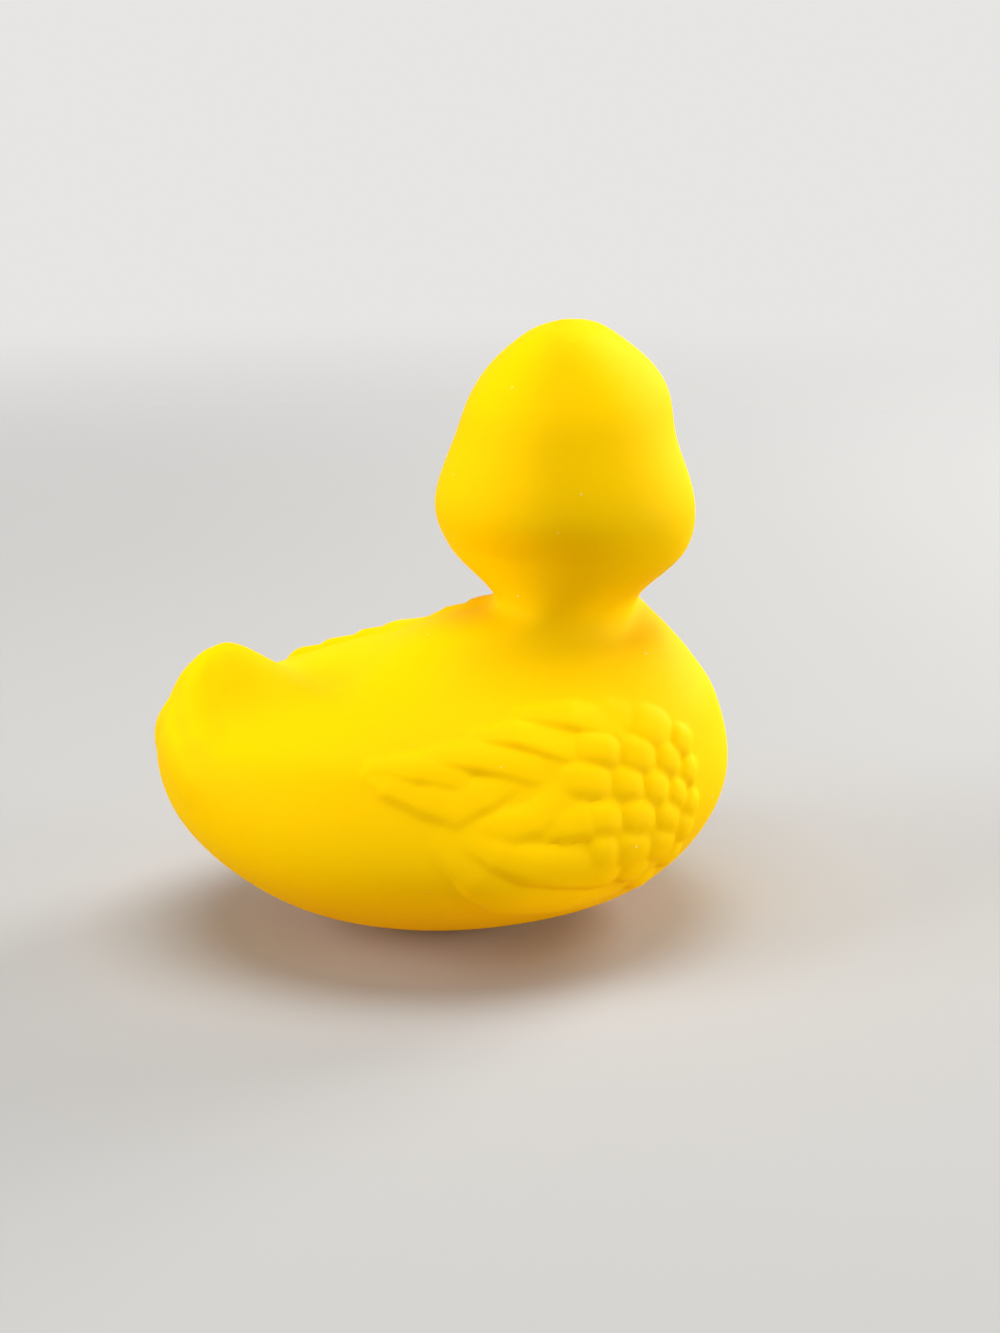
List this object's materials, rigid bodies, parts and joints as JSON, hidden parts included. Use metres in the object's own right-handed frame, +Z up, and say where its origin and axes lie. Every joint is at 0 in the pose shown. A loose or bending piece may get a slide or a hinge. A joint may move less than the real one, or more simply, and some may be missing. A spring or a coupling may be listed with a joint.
{
  "type": "rubber duck",
  "caption": "Hollow soft vinyl bath duck with its head turned aside, moulded feather wings, a short upturned tail and a flat base with a vent hole.",
  "frame": {"origin": "middle of the body's length and width, on the plane of the flat base", "axes": "+X towards the chest, +Y to the duck's left, +Z up"},
  "size_m": [0.09, 0.079, 0.0938],
  "materials": {
    "vinyl": "soft matte yellow vinyl"
  },
  "bodies": {
    "root": {"duck": "vinyl"}
  },
  "joints": []
}
